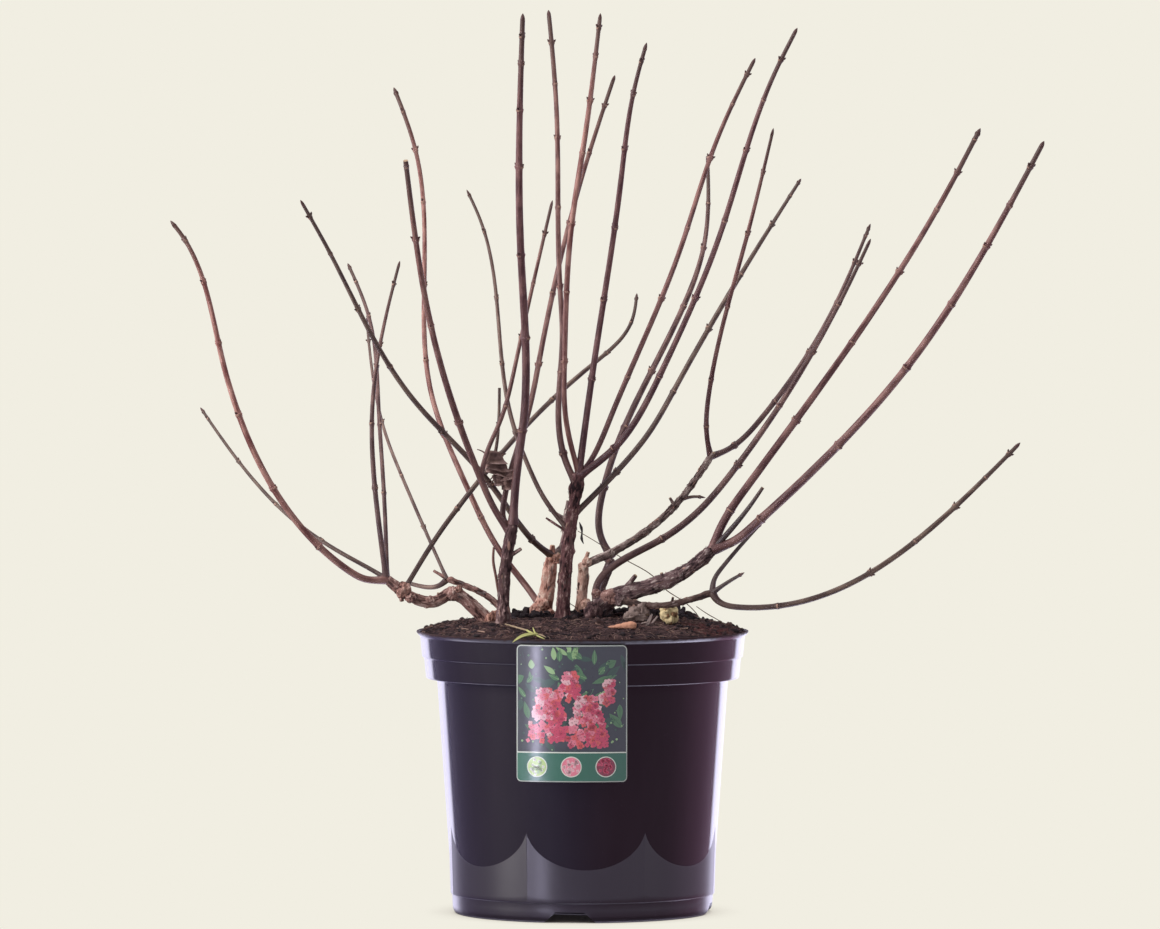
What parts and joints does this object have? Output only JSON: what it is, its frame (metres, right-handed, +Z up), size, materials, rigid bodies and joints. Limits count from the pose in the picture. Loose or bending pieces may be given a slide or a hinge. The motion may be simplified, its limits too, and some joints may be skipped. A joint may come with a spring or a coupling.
{
  "type": "hydrangea shrub in a nursery pot",
  "caption": "Bare winter hydrangea shrub: old stems and boughs carry slim upright canes in an open vase shape, standing in a round plastic nursery pot full of soil.",
  "frame": {"origin": "middle of the flat underside of the pot, on the surface that it stands on", "axes": "+Z up along the pot's axis, -Y towards the side that carries the label, +X to the right seen from there"},
  "size_m": [0.7195, 0.4506, 0.7611],
  "materials": {
    "pot_plastic": "moulded recycled plastic with a soft gloss, aubergine black",
    "soil": "loose fibrous peat compost, dark red-brown",
    "label_card": "printed plastic card with round corners",
    "old_wood": "flaking bark, dark brown to pale tan",
    "young_cane": "smooth bark of last summer's wood, dark red-brown with pale pores and rings at the nodes",
    "withered_leaf": "dry crumpled leaf, brown"
  },
  "bodies": {
    "root": {"back_cane": "young_cane", "bough_low": "old_wood", "bough_middle": "old_wood", "bough_pale": "old_wood", "crossing_cane": "young_cane", "crossing_stub": "young_cane", "dead_leaf": "withered_leaf", "front_cane_1": "young_cane", "front_cane_2": "young_cane", "front_cane_3": "young_cane", "front_cane_4": "young_cane", "label": "label_card", "left_cane_1": "young_cane", "left_cane_2": "young_cane", "left_cane_3": "young_cane", "left_cane_4": "young_cane", "left_cane_5": "young_cane", "left_cane_6": "young_cane", "left_twig": "young_cane", "low_cane_1": "young_cane", "low_cane_2": "young_cane", "low_cane_3": "young_cane", "middle_cane_1": "young_cane", "middle_cane_2": "young_cane", "middle_cane_3": "young_cane", "middle_cane_4": "young_cane", "middle_cane_5": "young_cane", "middle_cane_6": "young_cane", "middle_cane_7": "young_cane", "pale_twig": "young_cane", "pot": "pot_plastic", "rear_left_cane": "young_cane", "right_cane_1": "young_cane", "right_cane_2": "young_cane", "right_cane_3": "young_cane", "right_cane_4": "young_cane", "right_cane_5": "young_cane", "right_twig": "young_cane", "soil": "soil", "stem_back": "old_wood", "stem_front": "old_wood", "stem_left": "old_wood", "stem_left_thin": "old_wood", "stem_middle": "old_wood", "stem_pale": "old_wood", "stem_right": "old_wood", "stem_tan": "old_wood"}
  },
  "joints": []
}
